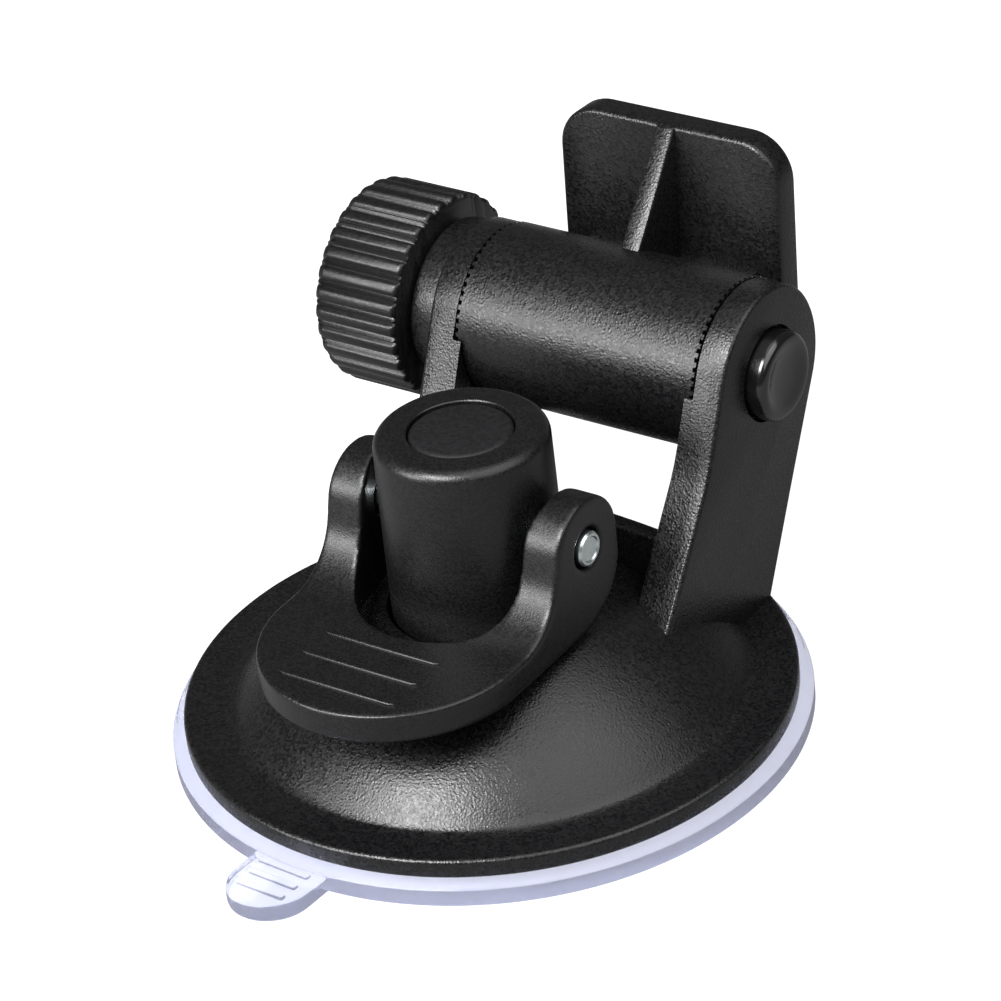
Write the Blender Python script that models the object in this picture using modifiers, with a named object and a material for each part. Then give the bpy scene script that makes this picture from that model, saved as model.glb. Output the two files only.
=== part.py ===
"""Suction-cup windscreen mount for a small dash camera.

A clear soft cup is drawn up into a black housing by a plunger and a cam lever.
Two uprights on the housing carry a pivot barrel with a camera plate, clamped by
a bolt and a ridged knob. Metres, +Z up. The origin is on the cup's axis, on the
plane that the cup rests on; -Y is the side of the lever's paddle.
"""

import math

import bmesh
import bpy
from mathutils import Matrix, Vector

# ---- Clearances -------------------------------------------------------------
GAP = 0.0003                    # between two pieces that touch
WELL_CLEARANCE = 0.0001         # added to the gap round the plunger in its well

# ---- Suction cup ------------------------------------------------------------
CUP_RADIUS = 0.0325
CUP_RING_HEIGHT = 0.0021
CUP_RING_ROUND = 0.0004
CUP_SEAT_WIDTH = 0.0070         # flat annulus that touches the glass
CUP_CAVITY_HEIGHT = 0.0036      # under the middle of the cup when locked
CUP_FLOOR = 0.0014              # soft floor under the stem's foot
CUP_WEB = 0.0018
CUP_LIP = 0.0010                # lip that holds the stem's foot
CUP_HUB_WALL = 0.0019
TAB_WIDTH = 0.0090
TAB_REACH = CUP_RADIUS + 0.0071              # cup axis to the tab's tip
TAB_THICKNESS = 0.0018
TAB_ANGLE = -3.4                # degrees, turned about the cup's axis
TAB_RIDGE_WIDTH = 0.0007
TAB_RIDGE_HEIGHT = 0.0003
TAB_RIDGE_LENGTH = 0.0062
TAB_RIDGE_SPACING = 0.0019
TAB_RIDGE_FIRST = CUP_RADIUS + 0.0006        # cup axis to the first ridge
TAB_RIDGES = 3

# ---- Base housing -----------------------------------------------------------
RIM_RADIUS = CUP_RADIUS - 0.0014
RIM_HEIGHT = 0.0019             # height of the rim's outer wall
BAND_WIDTH = 0.0051             # flat band between the rim and the dome
BAND_DIP = 0.00025              # how far the band is dished
DOME_FOOT_RISE = 0.0001
DOME_SPHERE_RADIUS = 0.0348
PAD_HEIGHT = 0.0143             # flat top of the dome, where the cam bears
WALL = 0.0021
WELL_DEPTH = 0.0043             # well that the plunger sinks into
WELL_FLOOR = 0.0016

# ---- Uprights ---------------------------------------------------------------
PIVOT_Y = 0.0285
PIVOT_Z = 0.0290
EAR_RADIUS = 0.0091
ARM_THICKNESS = 0.0032
ARM_PAD = 0.0010                # how far an upright stands inward below the barrel
ARM_FOOT_Y = 0.0065             # front corner of an upright, where it leaves the dome
ARM_FOOT_Z = 0.0105
ARM_WAIST_Y = 0.0164            # where the front edge turns steeper
ARM_WAIST_Z = 0.0240
BOSS_RADIUS = 0.0086            # round boss under the knob
BOSS_HEIGHT = 0.0029
WEB_THICKNESS = 0.0020          # cross web between the uprights
WEB_TOP = 0.0166
WEB_FRONT_Y = 0.0126            # web's front face, where it meets the uprights
WEB_BULGE = 0.0015              # how far the web's middle bows back
EMBED_Z = 0.0034                # how deep the uprights and the web reach into the rim

# ---- Plunger, pin and lever -------------------------------------------------
PLUNGER_RADIUS = 0.0089
PLUNGER_TOP = 0.0337
PLUNGER_ROUND = 0.0013
STEM_RADIUS = 0.0030
STEM_TOP = 0.0290
FOOT_RADIUS = 0.0056
FOOT_THICKNESS = 0.0010
BADGE_RADIUS = 0.0052
BADGE_THICKNESS = 0.0008
PIN_Z = 0.0236
PIN_RADIUS = 0.0018
PIN_PROUD = 0.0003
LEVER_HALF_WIDTH = 0.01384
LEVER_EAR_THICKNESS = 0.0036
LEVER_EAR_RADIUS = 0.0053
LEVER_REACH = 0.0277            # pin to the paddle's tip
LEVER_TOP_Z = 0.0178
LEVER_FRONT_LEAN = 14.0         # degrees
LEVER_CROOK = 0.0070            # hollow curve between the ear and the paddle
LEVER_SLOT_CENTRE_Y = -0.0040
LEVER_TURN = 80.0               # degrees from locked to released
CAM_OVERRUN = 10.0              # degrees of cam beyond the released position
PLUNGER_LIFT = 0.0033           # how far the plunger sinks over that turn
PADDLE_RIB_WIDTH = 0.0005
PADDLE_RIB_HEIGHT = 0.0002
PADDLE_RIB_LENGTH = 0.0138
PADDLE_RIB_FIRST = 0.0164       # cup axis to the first rib
PADDLE_RIB_SPACING = 0.0038
PADDLE_RIBS = 3

# ---- Pivot barrel and camera plate ------------------------------------------
BARREL_RADIUS = 0.0092
BARREL_LENGTH = 0.0284          # over the teeth
TOOTH_HEIGHT = 0.0003
TOOTH_INNER_RADIUS = 0.0066
TEETH = 60
PLATE_WIDTH = 0.0263
PLATE_THICKNESS = 0.0034
PLATE_LEAN = 3.2                # degrees, top leaning away from the lever
PLATE_FRONT = 0.0100            # pivot axis to the plate's front face
PLATE_TOP = 0.0196              # above the pivot axis
PLATE_BOTTOM = -0.0040
PLATE_CORNER = 0.0047
NECK_WIDTH = 0.0200
NECK_TOP = 0.0045
NECK_BOTTOM = -0.0032
RIB_THICKNESS = 0.0022
RIB_FOOT_Y = 0.0027             # where the rib's front edge leaves the barrel
RIB_DROP = 0.0001               # rib's head below the plate's top edge

# ---- Clamp: bolt, washer, nut and knob --------------------------------------
BOLT_RADIUS = 0.0025
BOLT_HEAD_RADIUS = 0.0047
BOLT_HEAD_RIM = 0.0019
BOLT_HEAD_DOME = 0.0008
BOLT_NECK_SIDE = 0.0046
BOLT_RECESS_DEPTH = 0.0010
BOLT_CHAMFER = 0.0004
WASHER_RADIUS = 0.0050
WASHER_THICKNESS = 0.0008
KNOB_RADIUS = 0.0109
KNOB_LENGTH = 0.0104
KNOB_RIDGES = 30
KNOB_RIDGE_DEPTH = 0.0006
KNOB_RIDGE_SHAPE = 0.7          # under 1 gives wide ridges and narrow valleys
KNOB_CHAMFER = 0.0008
KNOB_END_WALL = 0.0020
NUT_FLATS = 0.0080
NUT_THICKNESS = 0.0040
ROUND_STEPS = 48

# ---- Worked out from the sizes above ----------------------------------------
BOLT_BORE = BOLT_RADIUS + GAP
PIN_BORE = PIN_RADIUS + GAP
EAR_INNER_X = BARREL_LENGTH / 2 + GAP
EAR_OUTER_X = EAR_INNER_X + ARM_THICKNESS
HOUSING_BOTTOM = CUP_RING_HEIGHT + GAP
BAND_Z = HOUSING_BOTTOM + RIM_HEIGHT
DOME_FOOT_RADIUS = RIM_RADIUS - BAND_WIDTH
DOME_SAG = math.sqrt(DOME_SPHERE_RADIUS**2 - DOME_FOOT_RADIUS**2)
DOME_CENTRE_Z = BAND_Z + DOME_FOOT_RISE - DOME_SAG
WELL_RADIUS = PLUNGER_RADIUS + GAP + WELL_CLEARANCE
WELL_FLOOR_Z = PAD_HEIGHT - WELL_DEPTH
PLUNGER_BOTTOM = WELL_FLOOR_Z + PLUNGER_LIFT + GAP
CAM_START = PIN_Z - PAD_HEIGHT - GAP        # pin to the pad when the lever is locked
CAM_SLOPE = PLUNGER_LIFT / math.radians(LEVER_TURN)
FOOT_Z = CUP_CAVITY_HEIGHT + CUP_FLOOR + GAP
POCKET_TOP = FOOT_Z + FOOT_THICKNESS + GAP
HUB_TOP = POCKET_TOP + CUP_LIP
HUB_RADIUS = FOOT_RADIUS + GAP + CUP_HUB_WALL
BOSS_FACE_X = -(EAR_OUTER_X + BOSS_HEIGHT)
WASHER_SEAT_X = BOSS_FACE_X + WASHER_THICKNESS + GAP / 2
KNOB_FACE_X = WASHER_SEAT_X - WASHER_THICKNESS - 2 * GAP
KNOB_END_X = KNOB_FACE_X - KNOB_LENGTH
NUT_POCKET = NUT_THICKNESS + 2 * GAP
BOLT_END_X = KNOB_END_X + KNOB_END_WALL + 2 * GAP

# Facings for a flat outline: (y, z) with its thickness along X, and (x, z) with its thickness along Y
ACROSS_X = Matrix(((0, 0, 1), (1, 0, 0), (0, 1, 0))).to_4x4()
ALONG_Y = Matrix(((1, 0, 0), (0, 0, -1), (0, 1, 0))).to_4x4()


# ---- Scene and materials ----------------------------------------------------
def clear_scene():
    for obj in list(bpy.data.objects):
        bpy.data.objects.remove(obj, do_unlink=True)


def new_collection(name, hidden=False):
    collection = bpy.data.collections.new(name)
    collection.hide_render = hidden
    bpy.context.scene.collection.children.link(collection)
    return collection


def new_material(name, colour, roughness, metallic=0.0, transmission=0.0):
    material = bpy.data.materials.new(name)
    material.use_nodes = True
    shader = material.node_tree.nodes["Principled BSDF"]
    shader.inputs["Base Color"].default_value = (*colour, 1.0)
    shader.inputs["Roughness"].default_value = roughness
    shader.inputs["Metallic"].default_value = metallic
    shader.inputs["Transmission Weight"].default_value = transmission
    return material


# ---- Shapes -----------------------------------------------------------------
def add_object(name, mesh, collection, material=None, parent=None):
    obj = bpy.data.objects.new(name, mesh)
    collection.objects.link(obj)
    obj.parent = parent
    if material:
        mesh.materials.append(material)
    return obj


def arc(centre_a, centre_b, radius, start, end, steps):
    """Points of an arc, angles in degrees."""
    points = []
    for step in range(steps + 1):
        angle = math.radians(start + (end - start) * step / steps)
        points.append((centre_a + radius * math.cos(angle), centre_b + radius * math.sin(angle)))
    return points


def tangent_angle(centre, radius, point, side):
    """Angle, in degrees, at which a line from point touches the circle. side is +1 or -1."""
    away = Vector(point) - Vector(centre)
    return math.degrees(math.atan2(away.y, away.x) + side * math.acos(radius / away.length))


def turned(name, profile, collection, closed=False, axis="Z", steps=ROUND_STEPS, **placing):
    """A profile of (radius, height) points, from the top down its outer side, spun round an axis."""
    bm = bmesh.new()
    turn = Matrix.Rotation(math.radians(90), 3, "Y") if axis == "X" else Matrix.Identity(3)
    verts = [bm.verts.new(turn @ Vector((radius, 0, height))) for radius, height in profile]
    ends = verts[1:] + verts[:1] if closed else verts[1:]
    for first, second in zip(verts, ends):
        bm.edges.new((first, second))
    mesh = bpy.data.meshes.new(name)
    bm.to_mesh(mesh)
    bm.free()
    obj = add_object(name, mesh, collection, **placing)
    screw = obj.modifiers.new("Turn", "SCREW")
    screw.axis = axis
    screw.steps = steps
    screw.render_steps = steps
    screw.use_merge_vertices = True
    screw.merge_threshold = 0.000001
    screw.use_smooth_shade = False
    return obj


def extruded(name, outline, thickness, facing, collection, **placing):
    """A flat outline given a thickness, as a mesh. facing turns it from the XY plane."""
    curve = bpy.data.curves.new(name, "CURVE")
    curve.dimensions = "2D"
    curve.fill_mode = "BOTH"
    curve.extrude = thickness / 2
    spline = curve.splines.new("POLY")
    spline.points.add(len(outline) - 1)
    for point, (a, b) in zip(spline.points, outline):
        point.co = (a, b, 0, 1)
    spline.use_cyclic_u = True
    source = bpy.data.objects.new(name + "_outline", curve)
    collection.objects.link(source)
    graph = bpy.context.evaluated_depsgraph_get()
    mesh = bpy.data.meshes.new_from_object(source.evaluated_get(graph))
    bpy.data.objects.remove(source, do_unlink=True)
    bm = bmesh.new()
    bm.from_mesh(mesh)
    bmesh.ops.remove_doubles(bm, verts=bm.verts, dist=0.000001)
    bmesh.ops.transform(bm, matrix=facing, verts=bm.verts)
    bmesh.ops.recalc_face_normals(bm, faces=bm.faces)
    bm.to_mesh(mesh)
    bm.free()
    mesh.name = name
    return add_object(name, mesh, collection, **placing)


def box(name, low, high, collection, **placing):
    bm = bmesh.new()
    bmesh.ops.create_cube(bm, size=1)
    size = Vector(high) - Vector(low)
    middle = (Vector(high) + Vector(low)) / 2
    bmesh.ops.scale(bm, vec=size, verts=bm.verts)
    bmesh.ops.translate(bm, vec=middle, verts=bm.verts)
    mesh = bpy.data.meshes.new(name)
    bm.to_mesh(mesh)
    bm.free()
    return add_object(name, mesh, collection, **placing)


def rod(name, radius, low, high, axis, collection, sides=ROUND_STEPS, **placing):
    """A cylinder, or a prism with few sides, along an axis from low to high."""
    bm = bmesh.new()
    size = {"radius1": radius, "radius2": radius, "depth": high - low}
    bmesh.ops.create_cone(bm, cap_ends=True, segments=sides, **size)
    bmesh.ops.translate(bm, vec=(0, 0, (high + low) / 2), verts=bm.verts)
    if axis == "X":
        bmesh.ops.rotate(bm, matrix=Matrix.Rotation(math.radians(90), 3, "Y"), verts=bm.verts)
    mesh = bpy.data.meshes.new(name)
    bm.to_mesh(mesh)
    bm.free()
    return add_object(name, mesh, collection, **placing)


def combine(obj, tool, operation):
    boolean = obj.modifiers.new(tool.name, "BOOLEAN")
    boolean.operation = operation
    boolean.solver = "EXACT"
    boolean.object = tool
    tool.hide_render = True
    tool.display_type = "WIRE"


def join(obj, tool):
    combine(obj, tool, "UNION")


def cut(obj, tool):
    combine(obj, tool, "DIFFERENCE")


def rounded_rectangle(low_x, low_y, high_x, high_y, radius, steps=6):
    return (
        arc(high_x - radius, high_y - radius, radius, 0, 90, steps)
        + arc(low_x + radius, high_y - radius, radius, 90, 180, steps)
        + arc(low_x + radius, low_y + radius, radius, 180, 270, steps)
        + arc(high_x - radius, low_y + radius, radius, 270, 360, steps)
    )


def smooth_step(value):
    value = min(max(value, 0.0), 1.0)
    return value * value * (3 - 2 * value)


# ---- Suction cup ------------------------------------------------------------
def cup_profile():
    seat = CUP_RADIUS - CUP_SEAT_WIDTH
    stem_hole = STEM_RADIUS + GAP
    pocket = FOOT_RADIUS + GAP
    upper = [(0, FOOT_Z - GAP), (pocket, FOOT_Z - GAP), (pocket, POCKET_TOP), (stem_hole, POCKET_TOP)]
    upper += [(stem_hole, HUB_TOP), (HUB_RADIUS, HUB_TOP)]
    web_steps = 6
    web_start = CUP_CAVITY_HEIGHT + CUP_WEB
    for step in range(web_steps + 1):
        share = step / web_steps
        radius = HUB_RADIUS + (seat - HUB_RADIUS) * share
        upper.append((radius, web_start + (CUP_RING_HEIGHT - web_start) * smooth_step(share)))
    rim = [(CUP_RADIUS - CUP_RING_ROUND, CUP_RING_HEIGHT), (CUP_RADIUS, CUP_RING_HEIGHT - CUP_RING_ROUND)]
    rim += [(CUP_RADIUS, 0)]
    under = []
    for step in range(web_steps + 1):
        share = step / web_steps
        radius = seat + (pocket - seat) * share
        under.append((radius, CUP_CAVITY_HEIGHT * smooth_step(share)))
    return upper + rim + under + [(0, CUP_CAVITY_HEIGHT)]


def make_suction_cup(parts, cutters, material):
    cup = turned("suction_cup", cup_profile(), parts, material=material)
    half = TAB_WIDTH / 2
    outline = [(half, -CUP_RADIUS + CUP_RING_HEIGHT), (-half, -CUP_RADIUS + CUP_RING_HEIGHT)]
    outline += arc(0, -TAB_REACH + half, half, 180, 360, 12)
    turn = Matrix.Rotation(math.radians(TAB_ANGLE), 4, "Z")
    lift = Matrix.Translation((0, 0, TAB_THICKNESS / 2))
    join(cup, extruded("tab_body", outline, TAB_THICKNESS, turn @ lift, cutters))
    for index in range(TAB_RIDGES):
        y = -(TAB_RIDGE_FIRST + index * TAB_RIDGE_SPACING)
        x = TAB_RIDGE_LENGTH / 2
        low = (-x, y - TAB_RIDGE_WIDTH / 2, TAB_THICKNESS / 2)
        high = (x, y + TAB_RIDGE_WIDTH / 2, TAB_THICKNESS + TAB_RIDGE_HEIGHT)
        ridge = box(f"tab_ridge_{index + 1}", low, high, cutters)
        ridge.rotation_euler.z = math.radians(TAB_ANGLE)
        join(cup, ridge)


# ---- Base housing -----------------------------------------------------------
def dome_arc(thickness, top, foot, steps):
    """Points of the dome's curve, moved in by thickness, from height top down to height foot."""
    radius = DOME_SPHERE_RADIUS - thickness
    start = math.degrees(math.asin((top - DOME_CENTRE_Z) / radius))
    end = math.degrees(math.asin((foot - DOME_CENTRE_Z) / radius))
    return arc(0, DOME_CENTRE_Z, radius, start, end, steps)


def housing_profile():
    edge = CUP_RING_ROUND
    band_middle = (DOME_FOOT_RADIUS + RIM_RADIUS) / 2
    top = [(0, PAD_HEIGHT)] + dome_arc(0, PAD_HEIGHT, BAND_Z + DOME_FOOT_RISE, 7)
    band = [(band_middle, BAND_Z - BAND_DIP), (RIM_RADIUS - edge, BAND_Z), (RIM_RADIUS, BAND_Z - edge)]
    return top + band + [(RIM_RADIUS, HOUSING_BOTTOM), (0, HOUSING_BOTTOM)]


def cavity_profile():
    """The hollow under the dome, open at the bottom, round the outside of the well."""
    ceiling = WELL_FLOOR_Z - WELL_FLOOR
    well_wall = WELL_RADIUS + WALL
    inner_radius = DOME_SPHERE_RADIUS - WALL
    top = min(math.sqrt(inner_radius**2 - well_wall**2) + DOME_CENTRE_Z, PAD_HEIGHT - WALL)
    curve = dome_arc(WALL, top, HOUSING_BOTTOM, 6)
    points = [(0, ceiling), (well_wall, ceiling)]
    if curve[0][0] > well_wall + GAP:
        points.append((well_wall, top))
    points += curve
    return points + [(curve[-1][0], HOUSING_BOTTOM - WALL), (0, HOUSING_BOTTOM - WALL)]


def arm_outline():
    """Side view (y, z) of one upright."""
    pivot = (PIVOT_Y, PIVOT_Z)
    rear_y = math.sqrt(RIM_RADIUS**2 - EAR_OUTER_X**2) - GAP
    rear = (rear_y, BAND_Z)
    front_touch = tangent_angle(pivot, EAR_RADIUS, (ARM_WAIST_Y, ARM_WAIST_Z), -1)
    rear_touch = tangent_angle(pivot, EAR_RADIUS, rear, 1)
    if front_touch < rear_touch:
        front_touch += 360
    slope = (ARM_WAIST_Y - ARM_FOOT_Y) / (ARM_WAIST_Z - ARM_FOOT_Z)
    foot_z = DOME_FOOT_RISE + BAND_Z
    start = (ARM_FOOT_Y - slope * (ARM_FOOT_Z - foot_z), foot_z)
    outline = [(start[0], EMBED_Z), start, (ARM_WAIST_Y, ARM_WAIST_Z)]
    outline += arc(*pivot, EAR_RADIUS, front_touch, rear_touch, 14)
    return outline + [rear, (rear_y, EMBED_Z)]


def web_outline():
    """Plan (x, y) of the cross web, bowed back between the uprights."""
    reach = EAR_INNER_X + ARM_THICKNESS / 2
    radius = (reach**2 + WEB_BULGE**2) / (2 * WEB_BULGE)
    centre_y = WEB_FRONT_Y + WEB_BULGE - radius
    half = math.degrees(math.asin(reach / radius))
    front = arc(0, centre_y, radius, 90 - half, 90 + half, 8)
    back = arc(0, centre_y, radius + WEB_THICKNESS, 90 + half, 90 - half, 8)
    return front + back


def make_base_housing(parts, cutters, material):
    housing = turned("base_housing", housing_profile(), parts, material=material)
    pivot = (0, PIVOT_Y, PIVOT_Z)
    reach = EAR_OUTER_X + ARM_THICKNESS
    barrel_room = rod("barrel_room", BARREL_RADIUS + GAP, -reach, reach, "X", cutters)
    barrel_room.location = pivot
    for side, label in ((-1, "left"), (1, "right")):
        middle_x = side * (EAR_INNER_X + ARM_THICKNESS / 2)
        facing = Matrix.Translation((middle_x, 0, 0)) @ ACROSS_X
        join(housing, extruded(f"upright_{label}", arm_outline(), ARM_THICKNESS, facing, cutters))
        pad_thickness = ARM_PAD + ARM_THICKNESS / 2
        pad_x = side * (EAR_INNER_X - ARM_PAD + pad_thickness / 2)
        facing = Matrix.Translation((pad_x, 0, 0)) @ ACROSS_X
        pad = extruded(f"upright_pad_{label}", arm_outline(), pad_thickness, facing, cutters)
        cut(pad, barrel_room)
        join(housing, pad)
    web_lift = Matrix.Translation((0, 0, (WEB_TOP + EMBED_Z) / 2))
    join(housing, extruded("cross_web", web_outline(), WEB_TOP - EMBED_Z, web_lift, cutters))
    boss = rod("knob_boss", BOSS_RADIUS, BOSS_FACE_X, -EAR_OUTER_X + ARM_THICKNESS / 2, "X", cutters)
    recess_x = EAR_OUTER_X - BOLT_RECESS_DEPTH
    beyond = EAR_OUTER_X + BOSS_HEIGHT + ARM_THICKNESS
    bore = rod("pivot_bore", BOLT_BORE, -beyond, beyond, "X", cutters)
    head_recess = rod("head_recess", BOLT_HEAD_RADIUS + GAP, recess_x, beyond, "X", cutters)
    washer_seat = rod("washer_seat", WASHER_RADIUS + GAP, -beyond, WASHER_SEAT_X, "X", cutters)
    key = BOLT_NECK_SIDE / 2 + GAP
    key_hole = box("key_hole", (EAR_INNER_X - ARM_THICKNESS, -key, -key), (beyond, key, key), cutters)
    for tool in (boss, bore, head_recess, washer_seat, key_hole):
        tool.location = pivot
    join(housing, boss)
    cut(housing, turned("cavity", cavity_profile(), cutters))
    cut(housing, rod("plunger_well", WELL_RADIUS, WELL_FLOOR_Z, WEB_TOP, "Z", cutters))
    cut(housing, rod("stem_hole", STEM_RADIUS + GAP, 0, WEB_TOP, "Z", cutters))
    for tool in (bore, head_recess, washer_seat, key_hole):
        cut(housing, tool)


# ---- Plunger ----------------------------------------------------------------
def make_plunger(parts, cutters, black, badge_black, steel, axis):
    edge = STEM_RADIUS / 6
    stem_profile = [(0, STEM_TOP), (STEM_RADIUS - edge, STEM_TOP), (STEM_RADIUS, STEM_TOP - edge)]
    foot_top = FOOT_Z + FOOT_THICKNESS
    stem_profile += [(STEM_RADIUS, foot_top), (FOOT_RADIUS, foot_top), (FOOT_RADIUS, FOOT_Z), (0, FOOT_Z)]
    lower = [(radius, height - PIN_Z) for radius, height in stem_profile]
    stem = turned("plunger_stem", lower, parts, material=black, parent=axis)

    top = PLUNGER_TOP - PIN_Z
    badge_seat = top - BADGE_THICKNESS - GAP
    bottom = PLUNGER_BOTTOM - PIN_Z
    bore = STEM_RADIUS + GAP
    bore_top = STEM_TOP - PIN_Z + GAP
    recess = BADGE_RADIUS + GAP
    profile = [(0, badge_seat), (recess, badge_seat), (recess, top)]
    profile += arc(PLUNGER_RADIUS - PLUNGER_ROUND, top - PLUNGER_ROUND, PLUNGER_ROUND, 90, 0, 4)
    profile += [(PLUNGER_RADIUS, bottom), (bore, bottom), (bore, bore_top), (0, bore_top)]
    cap = turned("plunger_cap", profile, parts, material=black, parent=axis)

    badge_top = top - GAP / 2
    badge_profile = [(0, badge_top), (BADGE_RADIUS, badge_top), (BADGE_RADIUS, badge_top - BADGE_THICKNESS)]
    badge_profile += [(0, badge_top - BADGE_THICKNESS)]
    turned("cap_badge", badge_profile, parts, material=badge_black, parent=axis)

    half = LEVER_HALF_WIDTH + PIN_PROUD
    edge = PIN_PROUD
    pin_profile = [(0, half), (PIN_RADIUS - edge, half), (PIN_RADIUS, half - edge)]
    pin_profile += [(PIN_RADIUS, -half + edge), (PIN_RADIUS - edge, -half), (0, -half)]
    turned("lever_pin", pin_profile, parts, axis="X", steps=24, material=steel, parent=axis)
    hole = rod("pin_hole", PIN_BORE, -2 * half, 2 * half, "X", cutters, sides=24, parent=axis)
    cut(stem, hole)
    cut(cap, hole)
    return hole


# ---- Lever ------------------------------------------------------------------
def cam_point(angle):
    """A point of the cam, from the pin. The pad stays square under it while the plunger sinks evenly."""
    reach = CAM_START - CAM_SLOPE * angle
    y = reach * math.sin(angle) - CAM_SLOPE * math.cos(angle)
    z = -reach * math.cos(angle) - CAM_SLOPE * math.sin(angle)
    return (y, z)


def lever_outline():
    """Side view (y, z) of the lever, from the pin."""
    cam_steps = 10
    cam_end = math.radians(LEVER_TURN + CAM_OVERRUN)
    cam = [cam_point(cam_end * step / cam_steps) for step in range(cam_steps + 1)]
    lean = math.radians(LEVER_FRONT_LEAN)
    rear_touch = 0
    if Vector(cam[-1]).length > LEVER_EAR_RADIUS:
        rear_touch = tangent_angle((0, 0), LEVER_EAR_RADIUS, cam[-1], 1)
    ear = arc(0, 0, LEVER_EAR_RADIUS, rear_touch, 180 - LEVER_FRONT_LEAN, 12)
    paddle_top = LEVER_TOP_Z - PIN_Z
    crook_z = paddle_top + LEVER_CROOK
    crook_y = -(LEVER_EAR_RADIUS + LEVER_CROOK - crook_z * math.sin(lean)) / math.cos(lean)
    crook = arc(crook_y, crook_z, LEVER_CROOK, -LEVER_FRONT_LEAN, -90, 6)
    beyond = -LEVER_REACH - LEVER_EAR_THICKNESS
    return cam + ear + crook + [(beyond, paddle_top), (beyond, -CAM_START)]


def make_lever(parts, cutters, material, axis, pin_hole):
    width = 2 * LEVER_HALF_WIDTH
    lever = extruded("lever", lever_outline(), width, ACROSS_X, parts, material=material, parent=axis)
    nose_y = -LEVER_REACH + LEVER_HALF_WIDTH
    tall = 2 * (LEVER_EAR_RADIUS + CAM_START)
    half = LEVER_HALF_WIDTH + GAP / 10
    plan = [(half, CAM_START), (-half, CAM_START)] + arc(0, nose_y, half, 180, 360, 24)
    blank = extruded("lever_plan", plan, tall, Matrix.Identity(4), cutters, parent=axis)
    combine(lever, blank, "INTERSECT")
    slot_half = LEVER_HALF_WIDTH - LEVER_EAR_THICKNESS
    slot_plan = [(slot_half, CAM_START), (-slot_half, CAM_START)]
    slot_plan += arc(0, LEVER_SLOT_CENTRE_Y, slot_half, 180, 360, 16)
    cut(lever, extruded("lever_slot", slot_plan, tall, Matrix.Identity(4), cutters, parent=axis))
    cut(lever, pin_hole)
    top = LEVER_TOP_Z - PIN_Z
    for index in range(PADDLE_RIBS):
        y = -(PADDLE_RIB_FIRST + index * PADDLE_RIB_SPACING)
        low = (-PADDLE_RIB_LENGTH / 2, y - PADDLE_RIB_WIDTH / 2, top - PADDLE_RIB_HEIGHT)
        high = (PADDLE_RIB_LENGTH / 2, y + PADDLE_RIB_WIDTH / 2, top + PADDLE_RIB_HEIGHT)
        join(lever, box(f"paddle_rib_{index + 1}", low, high, cutters, parent=axis))


# ---- Pivot barrel and camera plate ------------------------------------------
def barrel_mesh():
    """A cylinder along X whose end faces carry a ring of teeth."""
    bm = bmesh.new()
    length = BARREL_LENGTH - 2 * TOOTH_HEIGHT
    bmesh.ops.create_cone(
        bm, cap_ends=True, segments=2 * TEETH, radius1=BARREL_RADIUS, radius2=BARREL_RADIUS, depth=length
    )
    caps = [face for face in bm.faces if len(face.verts) > 4]
    ring = bmesh.ops.inset_region(bm, faces=caps, thickness=BARREL_RADIUS - TOOTH_INNER_RADIUS)["faces"]
    for side in (-1, 1):
        teeth = []
        for face in ring:
            middle = face.calc_center_median()
            tooth = int(math.degrees(math.atan2(middle.y, middle.x)) // (180 / TEETH))
            if middle.z * side > 0 and tooth % 2 == 0:
                teeth.append(face)
        ring = [face for face in ring if face not in teeth]
        raised = bmesh.ops.extrude_face_region(bm, geom=teeth)["geom"]
        bmesh.ops.delete(bm, geom=teeth, context="FACES_ONLY")
        corners = [item for item in raised if isinstance(item, bmesh.types.BMVert)]
        bmesh.ops.translate(bm, vec=(0, 0, side * TOOTH_HEIGHT), verts=corners)
    bmesh.ops.rotate(bm, matrix=Matrix.Rotation(math.radians(90), 3, "Y"), verts=bm.verts)
    bmesh.ops.recalc_face_normals(bm, faces=bm.faces)
    mesh = bpy.data.meshes.new("barrel_plate")
    bm.to_mesh(mesh)
    bm.free()
    return mesh


def make_barrel_plate(parts, cutters, material, axis):
    bracket = add_object("barrel_plate", barrel_mesh(), parts, material=material, parent=axis)
    lean = Matrix.Rotation(math.radians(-PLATE_LEAN), 4, "X")
    half = PLATE_WIDTH / 2
    outline = rounded_rectangle(-half, PLATE_BOTTOM, half, PLATE_TOP, PLATE_CORNER)
    middle = PLATE_FRONT + PLATE_THICKNESS / 2
    facing = lean @ Matrix.Translation((0, middle, 0)) @ ALONG_Y
    join(bracket, extruded("plate", outline, PLATE_THICKNESS, facing, cutters, parent=axis))
    neck_low = (-NECK_WIDTH / 2, BOLT_BORE + WALL, NECK_BOTTOM)
    join(bracket, box("neck", neck_low, (NECK_WIDTH / 2, middle, NECK_TOP), cutters, parent=axis))
    rib_foot_z = math.sqrt(BARREL_RADIUS**2 - RIB_FOOT_Y**2)
    head = lean @ Vector((0, PLATE_FRONT, PLATE_TOP - RIB_DROP))
    back = lean @ Vector((0, middle, PLATE_TOP - RIB_DROP))
    rib = [(RIB_FOOT_Y, rib_foot_z - WALL), (RIB_FOOT_Y, rib_foot_z), (head.y, head.z)]
    rib += [(back.y, back.z), (middle, NECK_TOP - WALL), (RIB_FOOT_Y, NECK_TOP - WALL)]
    join(bracket, extruded("gusset_rib", rib, RIB_THICKNESS, ACROSS_X, cutters, parent=axis))
    reach = BARREL_LENGTH
    cut(bracket, rod("barrel_bore", BOLT_BORE, -reach, reach, "X", cutters, sides=24, parent=axis))


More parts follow.
